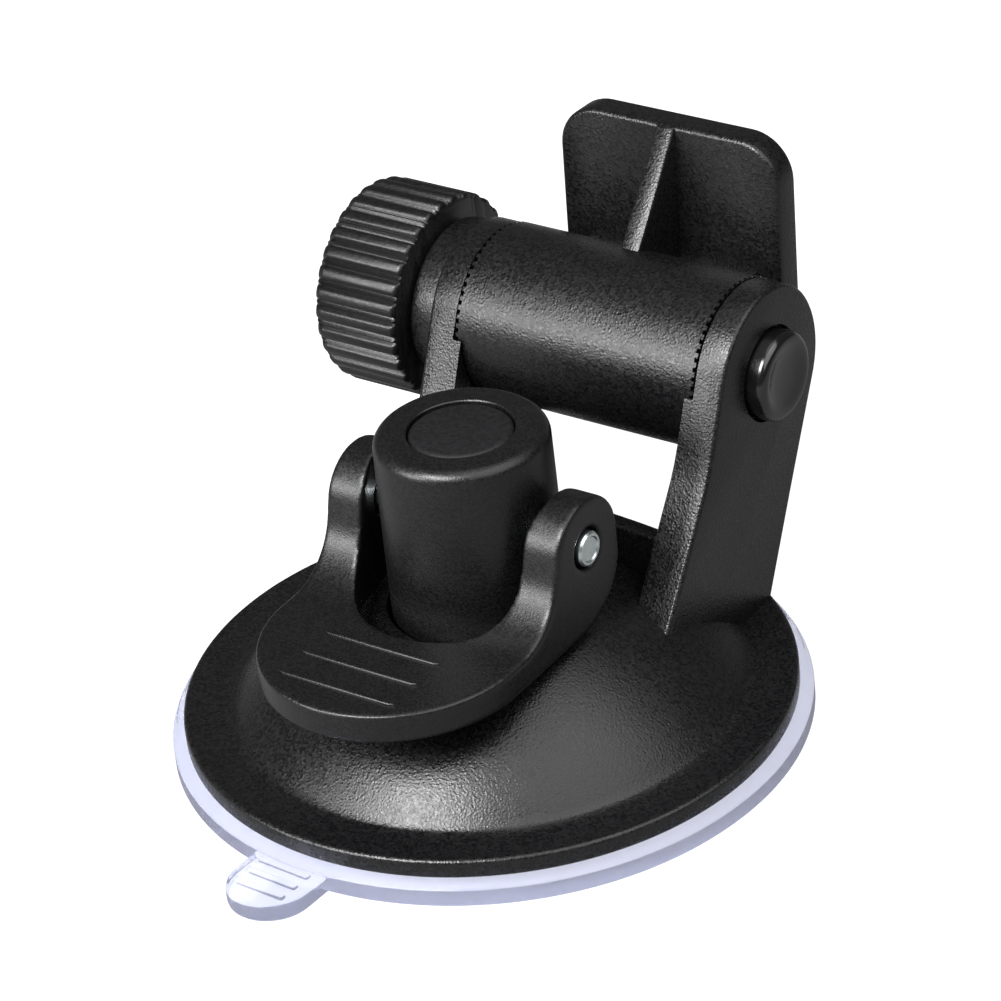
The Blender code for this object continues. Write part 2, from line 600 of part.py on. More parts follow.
# ---- Clamp ------------------------------------------------------------------
def make_pivot_bolt(parts, cutters, material, axis):
    seat = EAR_OUTER_X - BOLT_RECESS_DEPTH + GAP
    rim = seat + BOLT_HEAD_RIM
    sphere = (BOLT_HEAD_RADIUS**2 + BOLT_HEAD_DOME**2) / (2 * BOLT_HEAD_DOME)
    half = math.degrees(math.asin(BOLT_HEAD_RADIUS / sphere))
    profile = [(0, rim + BOLT_HEAD_DOME)]
    profile += arc(0, rim + BOLT_HEAD_DOME - sphere, sphere, 90, 90 - half, 5)[1:]
    profile += [(BOLT_HEAD_RADIUS, seat), (BOLT_RADIUS, seat), (BOLT_RADIUS, BOLT_END_X + BOLT_CHAMFER)]
    profile += [(BOLT_RADIUS - BOLT_CHAMFER, BOLT_END_X), (0, BOLT_END_X)]
    bolt = turned("pivot_bolt", profile, parts, axis="X", steps=32, material=material, parent=axis)
    side = BOLT_NECK_SIDE / 2
    neck_low = (EAR_INNER_X + GAP, -side, -side)
    neck_high = (seat + BOLT_HEAD_RIM / 2, side, side)
    join(bolt, box("bolt_neck", neck_low, neck_high, cutters, parent=axis))


def ridged_outline():
    """Knob section: rounded ridges with narrow valleys between them."""
    points = []
    steps = 4
    for step in range(KNOB_RIDGES * steps):
        angle = 2 * math.pi * step / (KNOB_RIDGES * steps)
        swell = abs(math.cos(angle * KNOB_RIDGES / 2)) ** KNOB_RIDGE_SHAPE
        radius = KNOB_RADIUS - KNOB_RIDGE_DEPTH * (1 - swell)
        points.append((radius * math.cos(angle), radius * math.sin(angle)))
    return points


def make_clamp(parts, cutters, black, steel, washer_axis, knob_axis):
    washer_face = WASHER_SEAT_X - GAP
    washer_back = washer_face - WASHER_THICKNESS
    washer_profile = [(BOLT_BORE, washer_face), (WASHER_RADIUS, washer_face), (WASHER_RADIUS, washer_back)]
    washer_profile += [(BOLT_BORE, washer_back)]
    placing = {"material": steel, "parent": washer_axis}
    turned("knob_washer", washer_profile, parts, closed=True, axis="X", steps=32, **placing)

    facing = Matrix.Translation(((KNOB_FACE_X + KNOB_END_X) / 2, 0, 0)) @ ACROSS_X
    placing = {"material": black, "parent": knob_axis}
    knob = extruded("clamp_knob", ridged_outline(), KNOB_LENGTH, facing, parts, **placing)
    tall = KNOB_RADIUS + GAP
    shoulder = tall - KNOB_CHAMFER
    inner = KNOB_FACE_X + GAP
    outer = KNOB_END_X - GAP
    blank_profile = [(0, inner), (shoulder, inner), (tall, KNOB_FACE_X - KNOB_CHAMFER)]
    blank_profile += [(tall, KNOB_END_X + KNOB_CHAMFER), (shoulder, outer), (0, outer)]
    combine(knob, turned("knob_blank", blank_profile, cutters, axis="X", parent=knob_axis), "INTERSECT")
    corner = math.cos(math.radians(30))
    pocket_radius = (NUT_FLATS / 2 + GAP) / corner
    pocket_end = KNOB_FACE_X - NUT_POCKET
    cut(knob, rod("nut_pocket", pocket_radius, pocket_end, 0, "X", cutters, sides=6, parent=knob_axis))
    bore_end = KNOB_END_X + KNOB_END_WALL
    cut(knob, rod("knob_bore", BOLT_BORE, bore_end, 0, "X", cutters, sides=24, parent=knob_axis))

    nut_face = KNOB_FACE_X - GAP
    nut_radius = NUT_FLATS / 2 / corner
    nut_back = nut_face - NUT_THICKNESS
    placing = {"sides": 6, "material": steel, "parent": knob_axis}
    nut = rod("knob_nut", nut_radius, nut_back, nut_face, "X", parts, **placing)
    cut(nut, rod("nut_bore", BOLT_BORE, KNOB_END_X, 0, "X", cutters, sides=24, parent=knob_axis))


def make_axis(name, location, collection, parent=None):
    axis = bpy.data.objects.new(name, None)
    axis.empty_display_size = LEVER_EAR_RADIUS
    axis.location = location
    axis.parent = parent
    collection.objects.link(axis)
    return axis


def main():
    clear_scene()
    parts = new_collection("camera_mount")
    cutters = new_collection("cutters", hidden=True)
    clear_pvc = new_material("clear_soft_pvc", (0.80, 0.82, 0.90), 0.12, transmission=0.9)
    black = new_material("black_moulded_plastic", (0.016, 0.016, 0.017), 0.55)
    badge_black = new_material("smooth_black_disc", (0.012, 0.012, 0.012), 0.45)
    zinc = new_material("zinc_plated_steel", (0.62, 0.65, 0.65), 0.30, metallic=1.0)
    black_steel = new_material("black_oxide_steel", (0.020, 0.020, 0.021), 0.22, metallic=0.4)

    plunger_axis = make_axis("plunger_axis", (0, 0, PIN_Z), parts)
    lever_axis = make_axis("lever_axis", (0, 0, 0), parts, parent=plunger_axis)
    pivot_axis = make_axis("pivot_axis", (0, PIVOT_Y, PIVOT_Z), parts)
    knob_slide = make_axis("knob_slide", (0, 0, 0), parts, parent=pivot_axis)
    knob_axis = make_axis("knob_axis", (0, 0, 0), parts, parent=knob_slide)

    make_suction_cup(parts, cutters, clear_pvc)
    make_base_housing(parts, cutters, black)
    pin_hole = make_plunger(parts, cutters, black, badge_black, zinc, plunger_axis)
    make_lever(parts, cutters, black, lever_axis, pin_hole)
    make_barrel_plate(parts, cutters, black, pivot_axis)
    make_pivot_bolt(parts, cutters, black_steel, pivot_axis)
    make_clamp(parts, cutters, black, zinc, knob_slide, knob_axis)


main()
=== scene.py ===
# %% [markdown]
# # A suction-cup mount for a dash camera
# The mount is held to a windscreen by a clear soft cup. A lever with a cam draws
# the middle of the cup up into a black plastic housing, and two uprights on the
# housing clamp a barrel that carries the camera's plate. This lesson builds what
# the eye sees around a jointed frame that is already made: the frame says where
# everything is and how it moves, and each piece made here rides on one of its bodies.

# %% Load the frame
import math

import bmesh
import bpy
from mathutils import Matrix, Vector


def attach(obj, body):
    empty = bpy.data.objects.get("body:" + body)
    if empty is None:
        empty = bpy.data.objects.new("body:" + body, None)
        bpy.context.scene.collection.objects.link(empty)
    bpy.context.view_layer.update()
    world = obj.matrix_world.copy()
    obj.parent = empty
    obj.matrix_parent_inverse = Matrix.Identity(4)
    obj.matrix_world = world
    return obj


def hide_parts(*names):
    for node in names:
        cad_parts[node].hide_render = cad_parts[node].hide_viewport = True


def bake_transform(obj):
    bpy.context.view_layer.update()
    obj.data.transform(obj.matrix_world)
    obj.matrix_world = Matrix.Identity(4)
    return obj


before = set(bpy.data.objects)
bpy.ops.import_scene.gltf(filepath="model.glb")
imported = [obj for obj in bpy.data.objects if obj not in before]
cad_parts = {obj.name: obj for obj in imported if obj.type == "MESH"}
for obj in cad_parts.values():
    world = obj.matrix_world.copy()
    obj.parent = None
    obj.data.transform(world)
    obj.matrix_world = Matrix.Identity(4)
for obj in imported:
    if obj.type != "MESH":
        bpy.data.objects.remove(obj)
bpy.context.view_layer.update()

# %% [markdown]
# ## Working in millimetres
# Blender's unit is the metre, and this mount is 65 mm across. Sizes are easier to
# read in millimetres, so every shape is drawn in millimetres and shrunk once, when
# it becomes an object. One helper turns a bmesh into a finished piece: it merges
# doubles, points the faces outwards, marks edges sharper than 32 degrees, and
# hangs the piece on its body.

# %% Helpers: from a bmesh to a finished piece
MM = 0.001
SHARP = math.radians(32)


def new_object(name, bm):
    mesh = bpy.data.meshes.new(name)
    bm.to_mesh(mesh)
    bm.free()
    piece = bpy.data.objects.new(name, mesh)
    bpy.context.scene.collection.objects.link(piece)
    return piece


def finish_piece(name, bm, material, body, stands_for=(), sharp=SHARP):
    bmesh.ops.scale(bm, vec=(MM, MM, MM), verts=bm.verts)
    bmesh.ops.remove_doubles(bm, verts=bm.verts, dist=0.000001)
    bmesh.ops.recalc_face_normals(bm, faces=bm.faces)
    piece = new_object(name, bm)
    mesh = piece.data
    mesh.shade_smooth()
    mesh.set_sharp_from_angle(angle=sharp)
    mesh.materials.append(material)
    if body:
        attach(piece, body)
    if stands_for:
        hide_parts(*stands_for)
    print(f"{name}: {len(mesh.polygons)} faces")
    return piece


# %% [markdown]
# ## Three ways to start a shape
# Nearly every piece of this mount was either turned or pressed out of a flat
# outline. `spun` takes half a section and spins it round an axis. `slab` fills an
# outline and extrudes it. `combined` joins or cuts two shapes with an exact
# Boolean, as a mould maker adds and removes steel.

# %% Helpers: arcs, spins, slabs and Booleans
def arc(centre, radius, start, end, steps):
    points = []
    for step in range(steps + 1):
        angle = math.radians(start + (end - start) * step / steps)
        points.append((centre[0] + radius * math.cos(angle), centre[1] + radius * math.sin(angle)))
    return points


def spun(profile, closed=False, steps=144, axis="Z"):
    """Half a section of (radius, height) points, spun into a solid."""
    bm = bmesh.new()
    verts = [bm.verts.new((radius, 0, height)) for radius, height in profile]
    ends = verts[1:] + verts[:1] if closed else verts[1:]
    edges = [bm.edges.new(pair) for pair in zip(verts, ends)]
    bmesh.ops.spin(
        bm, geom=verts + edges, cent=(0, 0, 0), axis=(0, 0, 1), dvec=(0, 0, 0),
        angle=math.tau, steps=steps, use_merge=True, use_duplicate=False,
    )
    bmesh.ops.remove_doubles(bm, verts=bm.verts, dist=0.0005)
    if axis == "X":
        bmesh.ops.rotate(bm, matrix=Matrix.Rotation(math.radians(90), 3, "Y"), verts=bm.verts)
    bmesh.ops.recalc_face_normals(bm, faces=bm.faces)
    return bm


ACROSS_X = Matrix(((0, 0, 1, 0), (1, 0, 0, 0), (0, 1, 0, 0), (0, 0, 0, 1)))
ALONG_Y = Matrix(((1, 0, 0, 0), (0, 0, -1, 0), (0, 1, 0, 0), (0, 0, 0, 1)))


def slab(outline, low, high, facing=Matrix.Identity(4)):
    """A filled outline, extruded from low to high, then turned to face another way."""
    bm = bmesh.new()
    face = bm.faces.new([bm.verts.new((a, b, low)) for a, b in outline])
    raised = bmesh.ops.extrude_face_region(bm, geom=[face])["geom"]
    tops = [item for item in raised if isinstance(item, bmesh.types.BMVert)]
    bmesh.ops.translate(bm, vec=(0, 0, high - low), verts=tops)
    bmesh.ops.transform(bm, matrix=facing, verts=bm.verts)
    bmesh.ops.recalc_face_normals(bm, faces=bm.faces)
    return bm


def rounded(bm, width, chosen=lambda edge: True, segments=3, angle=40):
    """Bevels the sharp edges that pass the test."""
    sharp = [e for e in bm.edges if len(e.link_faces) == 2 and e.calc_face_angle() > math.radians(angle)]
    edges = [edge for edge in sharp if chosen(edge)]
    bmesh.ops.bevel(
        bm, geom=edges, offset=width, offset_type="OFFSET", segments=segments,
        profile=0.5, affect="EDGES", material=-1, clamp_overlap=True,
    )
    return bm


def combined(base, tool, operation):
    """Joins, cuts or intersects two closed shapes, and frees both."""
    first, second = new_object("base_shape", base), new_object("tool_shape", tool)
    boolean = first.modifiers.new("Boolean", "BOOLEAN")
    boolean.operation = operation
    boolean.solver = "EXACT"
    boolean.object = second
    result = bmesh.new()
    result.from_object(first, bpy.context.evaluated_depsgraph_get())
    for used in (first, second):
        mesh = used.data
        bpy.data.objects.remove(used)
        bpy.data.meshes.remove(mesh)
    return result


def moved(bm, x=0.0, y=0.0, z=0.0):
    bmesh.ops.translate(bm, vec=(x, y, z), verts=bm.verts)
    return bm


def rod(radius, low, high, axis="X", sides=96):
    bm = bmesh.new()
    bmesh.ops.create_cone(
        bm, cap_ends=True, segments=sides, radius1=radius, radius2=radius, depth=high - low
    )
    moved(bm, z=(high + low) / 2)
    if axis == "X":
        bmesh.ops.rotate(bm, matrix=Matrix.Rotation(math.radians(90), 3, "Y"), verts=bm.verts)
    return bm


def block(low, high):
    bm = bmesh.new()
    bmesh.ops.create_cube(bm, size=1)
    low, high = Vector(low), Vector(high)
    bmesh.ops.scale(bm, vec=high - low, verts=bm.verts)
    bmesh.ops.translate(bm, vec=(high + low) / 2, verts=bm.verts)
    return bm


# %% [markdown]
# ## Colours and nodes
# Colours are written as the hex values that a paint program shows. Shaders want
# linear light, so one function converts them. One small function adds a node with
# its settings and links, which keeps each material short enough to read.

# %% Helpers: colours and shader nodes
def linear(hex_colour):
    values = []
    for place in (1, 3, 5):
        share = int(hex_colour[place:place + 2], 16) / 255
        values.append(share / 12.92 if share <= 0.04045 else ((share + 0.055) / 1.055) ** 2.4)
    return (*values, 1.0)


def add_node(tree, kind, settings=None, **links):
    """A node, its settings by name, and a link or a value for each of its inputs."""
    node = tree.nodes.new(kind)
    for key, value in (settings or {}).items():
        setattr(node, key, value)
    for key, value in links.items():
        socket = node.inputs[key.replace("_", " ")]
        if isinstance(value, bpy.types.NodeSocket):
            tree.links.new(value, socket)
        else:
            socket.default_value = value
    return node


def blank_material(name):
    material = bpy.data.materials.new(name)
    material.use_nodes = True
    tree = material.node_tree
    tree.nodes.clear()
    return material, tree, tree.nodes.new("ShaderNodeOutputMaterial")


# %% [markdown]
# ## Black ABS with a spark-eroded grain
# The housing, lever, barrel, plate and knob are injection-moulded ABS. The mould
# was spark-eroded, which leaves a fine grain of about a quarter of a millimetre. It
# breaks each highlight into a speckle of tiny bright points. The grain is a pattern
# of small cells, each with its own height, roughness and shade of near-black, and a
# wide, slow noise varies the roughness, because handled plastic is never evenly
# matt. The lever, knob and plunger have a finer, shallower grain, and the disc in
# the plunger's top is nearly smooth. The real grain is a little finer than this, and
# it is drawn as coarse as it has to be to show.

# %% Material: moulded black plastic
def moulded_abs(name, base, light, rough_low, rough_high, grain_mm, depth_mm, strength):
    material, tree, output = blank_material(name)
    place = add_node(tree, "ShaderNodeTexCoord").outputs["Object"]
    cells = add_node(tree, "ShaderNodeTexVoronoi", Vector=place, Scale=1000 / grain_mm).outputs
    fine = add_node(
        tree, "ShaderNodeTexNoise", Vector=place, Scale=1000 / grain_mm, Detail=2.0
    ).outputs["Fac"]
    height = add_node(tree, "ShaderNodeMath", {"operation": "ADD"})
    tree.links.new(cells["Distance"], height.inputs[0])
    tree.links.new(fine, height.inputs[1])
    cloud = add_node(tree, "ShaderNodeTexNoise", Vector=place, Scale=160, Detail=3.0).outputs["Fac"]
    speck = add_node(tree, "ShaderNodeSeparateColor", Color=cells["Color"]).outputs["Red"]
    uneven = add_node(tree, "ShaderNodeMath", {"operation": "MULTIPLY_ADD"})
    tree.links.new(cloud, uneven.inputs[0])
    uneven.inputs[1].default_value = 0.5
    tree.links.new(speck, uneven.inputs[2])
    rough_range = add_node(
        tree, "ShaderNodeMapRange", Value=uneven.outputs[0],
        From_Min=0.15, From_Max=1.35, To_Min=rough_low, To_Max=rough_high,
    )
    rough = rough_range.outputs["Result"]
    tint = add_node(tree, "ShaderNodeMix", {"data_type": "RGBA"})
    tree.links.new(speck, tint.inputs["Factor"])
    tint.inputs[6].default_value = linear(base)
    tint.inputs[7].default_value = linear(light)
    bump = add_node(
        tree, "ShaderNodeBump", Height=height.outputs[0], Strength=strength, Distance=depth_mm * MM
    ).outputs["Normal"]
    shader = add_node(
        tree, "ShaderNodeBsdfPrincipled", Roughness=rough, Normal=bump, IOR=1.53, Specular_IOR_Level=0.35
    )
    tree.links.new(tint.outputs[2], shader.inputs["Base Color"])
    tree.links.new(shader.outputs["BSDF"], output.inputs["Surface"])
    print("material", name)
    return material


black_abs = moulded_abs(
    "black_moulded_plastic", "#060607", "#121213",
    rough_low=0.22, rough_high=0.40, grain_mm=0.24, depth_mm=0.024, strength=1.0,
)
fine_abs = moulded_abs(
    "fine_black_plastic", "#070708", "#101011",
    rough_low=0.28, rough_high=0.42, grain_mm=0.20, depth_mm=0.010, strength=0.9,
)
satin_abs = moulded_abs(
    "smooth_black_disc", "#080809", "#0e0e10",
    rough_low=0.46, rough_high=0.54, grain_mm=0.35, depth_mm=0.008, strength=0.25,
)

# %% [markdown]
# ## Metals
# The lever's pin, the washer and the nut are mild steel with bright zinc, which
# looks like a soft, slightly blue-grey mirror with fine blotches. The bolt has a
# glossy black coat, so it is a dark, smooth shell with sharp reflections.

# %% Materials: zinc and black-coated steel
def zinc_plate():
    material, tree, output = blank_material("zinc_plated_steel")
    place = add_node(tree, "ShaderNodeTexCoord").outputs["Object"]
    cloud = add_node(tree, "ShaderNodeTexNoise", Vector=place, Scale=900, Detail=4.0).outputs["Fac"]
    rough = add_node(tree, "ShaderNodeMapRange", Value=cloud)
    rough.inputs["To Min"].default_value = 0.22
    rough.inputs["To Max"].default_value = 0.42
    colour = add_node(tree, "ShaderNodeMix", {"data_type": "RGBA"})
    tree.links.new(cloud, colour.inputs[0])
    colour.inputs[6].default_value = linear("#b9c4c6")
    colour.inputs[7].default_value = linear("#dde3e2")
    fine = add_node(tree, "ShaderNodeTexNoise", Vector=place, Scale=4000, Detail=2.0).outputs["Fac"]
    bump = add_node(tree, "ShaderNodeBump", Height=fine, Strength=0.15, Distance=0.01 * MM)
    shader = add_node(
        tree, "ShaderNodeBsdfPrincipled", Roughness=rough.outputs["Result"],
        Normal=bump.outputs["Normal"], Metallic=1.0,
    )
    tree.links.new(colour.outputs[2], shader.inputs["Base Color"])
    tree.links.new(shader.outputs["BSDF"], output.inputs["Surface"])
    return material


def black_coat():
    material, tree, output = blank_material("black_oxide_steel")
    place = add_node(tree, "ShaderNodeTexCoord").outputs["Object"]
    cloud = add_node(tree, "ShaderNodeTexNoise", Vector=place, Scale=500, Detail=3.0).outputs["Fac"]
    rough = add_node(tree, "ShaderNodeMapRange", Value=cloud)
    rough.inputs["To Min"].default_value = 0.10
    rough.inputs["To Max"].default_value = 0.22
    bump = add_node(tree, "ShaderNodeBump", Height=cloud, Strength=0.12, Distance=0.02 * MM)
    shader = add_node(
        tree, "ShaderNodeBsdfPrincipled", Roughness=rough.outputs["Result"],
        Normal=bump.outputs["Normal"], IOR=1.6,
    )
    shader.inputs["Base Color"].default_value = linear("#0c0c0d")
    tree.links.new(shader.outputs["BSDF"], output.inputs["Surface"])
    return material


zinc = zinc_plate()
bolt_black = black_coat()

# %% [markdown]
# ## Clear soft PVC
# The cup is plasticised PVC: clear, a touch blue-violet, and glossy. Light goes
# through it, so the shader is full transmission. PVC's IOR is 1.53. It is set
# to 1.22 here, so that the ring bends what is seen through it only a little. A
# render traces few light paths through glass, and the floor under the cup would go
# black. So a good part of the light goes straight through, and so do all rays that
# only ask whether a lamp is visible.

# %% Material: clear PVC
STRAIGHT_THROUGH = 0.30


def clear_pvc_material():
    material, tree, output = blank_material("clear_soft_pvc")
    place = add_node(tree, "ShaderNodeTexCoord").outputs["Object"]
    ripple = add_node(tree, "ShaderNodeTexNoise", Vector=place, Scale=220, Detail=2.0).outputs["Fac"]
    bump = add_node(tree, "ShaderNodeBump", Height=ripple, Strength=0.10, Distance=0.12 * MM)
    shader = add_node(
        tree, "ShaderNodeBsdfPrincipled", Normal=bump.outputs["Normal"], IOR=1.22, Roughness=0.12
    )
    shader.inputs["Base Color"].default_value = linear("#e6e8f4")
    shader.inputs["Transmission Weight"].default_value = 1.0
    clear = add_node(tree, "ShaderNodeBsdfTransparent", Color=linear("#e0e2f0"))
    asks = add_node(tree, "ShaderNodeLightPath").outputs["Is Shadow Ray"]
    share = add_node(tree, "ShaderNodeMath", {"operation": "MAXIMUM"})
    tree.links.new(asks, share.inputs[0])
    share.inputs[1].default_value = STRAIGHT_THROUGH
    mix = add_node(tree, "ShaderNodeMixShader")
    tree.links.new(share.outputs[0], mix.inputs[0])
    tree.links.new(shader.outputs["BSDF"], mix.inputs[1])
    tree.links.new(clear.outputs["BSDF"], mix.inputs[2])
    tree.links.new(mix.outputs[0], output.inputs["Surface"])
    return material


clear_pvc = clear_pvc_material()

# %% [markdown]
# ## The clear ring and its pull tab
# What shows of the cup is a flat ring that stands a millimetre and a half out from
# under the housing, and a small tab with three grip lines, for peeling the cup off
# the glass. The ring is a spun section with softened corners, and the tab is a slab
# joined to it, so that light passes from one into the other with no wall between.

# %% Suction cup: ring and tab
RING_INNER, RING_OUTER, RING_TOP = 25.5, 32.5, 2.1
TAB_HALF, TAB_ROOT, TAB_END, TAB_TOP, TAB_TURN = 4.5, -29.5, -35.1, 1.8, -3.4
GRIP_HALF, GRIP_FIRST, GRIP_PITCH = 3.1, -33.1, 1.9

ring_section = [(RING_INNER, 0.0), (RING_OUTER - 0.25, 0.0), (RING_OUTER, 0.25)]
ring_section += arc((RING_OUTER - 0.5, RING_TOP - 0.5), 0.5, 0, 90, 5) + [(RING_INNER, RING_TOP)]
ring = spun(ring_section, closed=True, steps=180)

tab_outline = [(TAB_HALF, TAB_ROOT), (-TAB_HALF, TAB_ROOT)] + arc((0, TAB_END), TAB_HALF, 180, 360, 24)
tab = rounded(slab(tab_outline, 0.0, TAB_TOP), 0.35)
for line in range(3):
    y = GRIP_FIRST - GRIP_PITCH * line
    ridge = rounded(block((-GRIP_HALF, y - 0.4, 1.5), (GRIP_HALF, y + 0.4, 2.15)), 0.25)
    tab = combined(tab, ridge, "UNION")
bmesh.ops.rotate(tab, matrix=Matrix.Rotation(math.radians(TAB_TURN), 3, "Z"), verts=tab.verts)
ring = combined(ring, tab, "UNION")
finish_piece("cup_ring", ring, clear_pvc, "base", ["suction_cup"])

# %% [markdown]
# ## The membrane under the housing
# Inside the ring the cup is a thin skin with a thick hub that grips the foot of the
# plunger. It bends when the lever lets the plunger down, but this piece is one fixed
# shape that hangs on no body.

# %% Suction cup: membrane and hub
def smooth_share(share):
    return share * share * (3 - 2 * share)


HUB, POCKET, STEM_HOLE = 7.8, 5.9, 3.3
HUB_TOP, HUB_FOOT, ARCH, SKIN_STEPS = 7.6, 5.4, 3.6, 12
skin = [(0, 5.0), (POCKET, 5.0), (POCKET, 6.6), (STEM_HOLE, 6.6), (STEM_HOLE, HUB_TOP)]
skin += [(HUB - 0.4, HUB_TOP), (HUB, 7.2)]
for step in range(SKIN_STEPS + 1):
    share = step / SKIN_STEPS
    skin.append((HUB + (RING_INNER - HUB) * share, HUB_FOOT - 3.3 * smooth_share(share)))
for step in range(SKIN_STEPS + 1):
    share = step / SKIN_STEPS
    skin.append((RING_INNER - (RING_INNER - POCKET) * share, ARCH * smooth_share(share)))
skin.append((0, ARCH))
membrane = finish_piece(
    "cup_membrane", spun(skin, steps=96), clear_pvc, None, ["suction_cup"]
)
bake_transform(membrane)

# %% [markdown]
# ## The housing's dome
# The housing is a shallow dome on a flat, slightly dished band, with a thin rim.
# In its top is a well that the plunger sinks into. A single spun section gives all
# of that and its hollow underside, with walls about two millimetres thick.

# %% Housing: section of the dome
DOME_RADIUS, DOME_Z = 34.8, -18.73
PAD, BAND, BOTTOM, RIM = 14.3, 4.3, 2.4, 31.1
WELL, WELL_FLOOR = 9.3, 10.0


def dome(radius, top, foot, steps):
    start = math.degrees(math.asin((top - DOME_Z) / radius))
    end = math.degrees(math.asin((foot - DOME_Z) / radius))
    return arc((0, DOME_Z), radius, start, end, steps)


section = [(3.3, WELL_FLOOR), (WELL - 0.3, WELL_FLOOR), (WELL, WELL_FLOOR + 0.3)]
section += arc((WELL + 0.35, PAD - 0.35), 0.35, 180, 90, 4)
section += dome(DOME_RADIUS, PAD, BAND + 0.22, 26)
section += [(26.12, BAND + 0.05), (26.3, BAND - 0.06), (27.2, BAND - 0.16), (28.6, BAND - 0.2)]
section += [(29.8, BAND - 0.12), (30.45, BAND + 0.02)]
section += arc((RIM - 0.45, BAND - 0.4), 0.45, 90, 0, 5)
section += [(RIM, BOTTOM + 0.15), (RIM - 0.15, BOTTOM), (24.96, BOTTOM)]
section += dome(DOME_RADIUS - 2.1, 11.9, BOTTOM, 14)[::-1][1:]
section += [(11.4, 8.4), (3.3, 8.4)]
housing = spun(section, closed=True, steps=180)
print("dome section:", len(section), "points")

# %% [markdown]
# ## The uprights
# Two flat arms rise from the dome and end in round ears for the bolt. Their front
# edge is steep above a waist and slants forward below it, and the outer edges are
# softened, which catches a thin line of light. The right ear has a recess for the
# bolt's head, and the left one a raised boss under the knob. Below the barrel each
# arm is a millimetre thicker on the inside, so the barrel's end sits in a shallow
# round step. A low cross web, bowed back, ties the two together.

# %% Housing: uprights and cross web
PIVOT = Vector((0, 28.5, 29.0))
EAR, INNER_X, OUTER_X, BOSS_X = 9.1, 14.5, 17.7, -20.6
HEAD_RECESS, WASHER_SEAT, SEAT_FLOOR, BOLT_BORE = 5.05, 5.3, -19.65, 2.8
PAD_STEP, PAD_OVERLAP, BARREL_ROOM, BOSS_RADIUS = 1.0, 1.6, 9.5, 8.6
WEB_REACH, WEB_BULGE, WEB_FRONT, WEB_THICK, WEB_TOP = 16.1, 1.5, 12.6, 2, 16.6
arm = [(2.0, 3.4), (2.0, 4.4), (15.3, 22.5), (16.3, 24.1), (17.15, 25.8)]
arm += arc((PIVOT.y, PIVOT.z), EAR, 156.5, -28.9, 48) + [(25.3, 4.3), (25.3, 3.4)]


def above_dome(edge):
    middle = (edge.verts[0].co + edge.verts[1].co) / 2
    return middle.z > BAND


def upright(side):
    low, high = sorted((side * INNER_X, side * OUTER_X))
    shape = slab(arm, low, high, ACROSS_X)
    outer = side * OUTER_X
    return rounded(
        shape, 0.45, lambda e: all(abs(v.co.x - outer) < 0.01 for v in e.verts) and above_dome(e)
    )


def upright_pad(side):
    low, high = sorted((side * (INNER_X - PAD_STEP), side * (INNER_X + PAD_OVERLAP)))
    barrel_room = moved(rod(BARREL_ROOM, -20, 20, sides=144), y=PIVOT.y, z=PIVOT.z)
    return combined(slab(arm, low, high, ACROSS_X), barrel_room, "DIFFERENCE")


right = combined(upright(1), upright_pad(1), "UNION")
for radius, low in ((HEAD_RECESS, OUTER_X - 1.0), (BOLT_BORE, 10)):
    right = combined(right, moved(rod(radius, low, 20), y=PIVOT.y, z=PIVOT.z), "DIFFERENCE")
left = combined(upright(-1), upright_pad(-1), "UNION")
boss = rounded(rod(BOSS_RADIUS, BOSS_X, -16.0), 0.6, lambda e: max(v.co.x for v in e.verts) < BOSS_X + 0.01)
left = combined(left, moved(boss, y=PIVOT.y, z=PIVOT.z), "UNION")
for radius, high in ((WASHER_SEAT, SEAT_FLOOR), (BOLT_BORE, -10)):
    left = combined(left, moved(rod(radius, -22, high), y=PIVOT.y, z=PIVOT.z), "DIFFERENCE")

web_radius = (WEB_REACH ** 2 + WEB_BULGE ** 2) / (2 * WEB_BULGE)
web_centre = (0, WEB_FRONT + WEB_BULGE - web_radius)
web_half = math.degrees(math.asin(WEB_REACH / web_radius))
web = arc(web_centre, web_radius, 90 - web_half, 90 + web_half, 20)
web += arc(web_centre, web_radius + WEB_THICK, 90 + web_half, 90 - web_half, 20)
web = rounded(slab(web, 3.4, WEB_TOP), 0.35, lambda e: min(v.co.z for v in e.verts) > WEB_TOP - 0.1)
for part in (right, left, web):
    housing = combined(housing, part, "UNION")
finish_piece("housing", housing, black_abs, "base", ["base_housing"])

# %% [markdown]
# ## The plunger
# The plunger is a plain round post with a soft top edge and a shallow round seat
# for a smooth disc. It narrows very slightly upwards, as a moulding has to, to come
# out of its mould. The stem inside it is the frame's own and never shows.

# %% Plunger cap, disc and pin
PLUNGER, PLUNGER_TOP, PIN_Z = 8.9, 33.7, 23.6
cap_section = [(0, PLUNGER_TOP - 1.1), (5.35, PLUNGER_TOP - 1.1), (5.4, PLUNGER_TOP - 0.1)]
cap_section += [(5.5, PLUNGER_TOP)]
cap_section += arc((PLUNGER - 1.4, PLUNGER_TOP - 1.3), 1.3, 90, 5, 8)
cap_section += [(PLUNGER, 20.0), (PLUNGER, 13.8), (PLUNGER - 0.2, 13.6)]
cap_section += [(STEM_HOLE, 13.6), (STEM_HOLE, 29.3), (0, 29.3)]
post = spun(cap_section, steps=128)
finish_piece("plunger_post", post, fine_abs, "plunger", ["plunger_cap"])

disc_section = [(0, PLUNGER_TOP - 0.1), (4.6, PLUNGER_TOP - 0.12), (4.95, PLUNGER_TOP - 0.18)]
disc_section += [(5.2, PLUNGER_TOP - 0.4), (5.2, PLUNGER_TOP - 1.0), (0, PLUNGER_TOP - 1.0)]
disc = spun(disc_section, steps=96)
finish_piece("plunger_disc", disc, satin_abs, "plunger", ["cap_badge"])

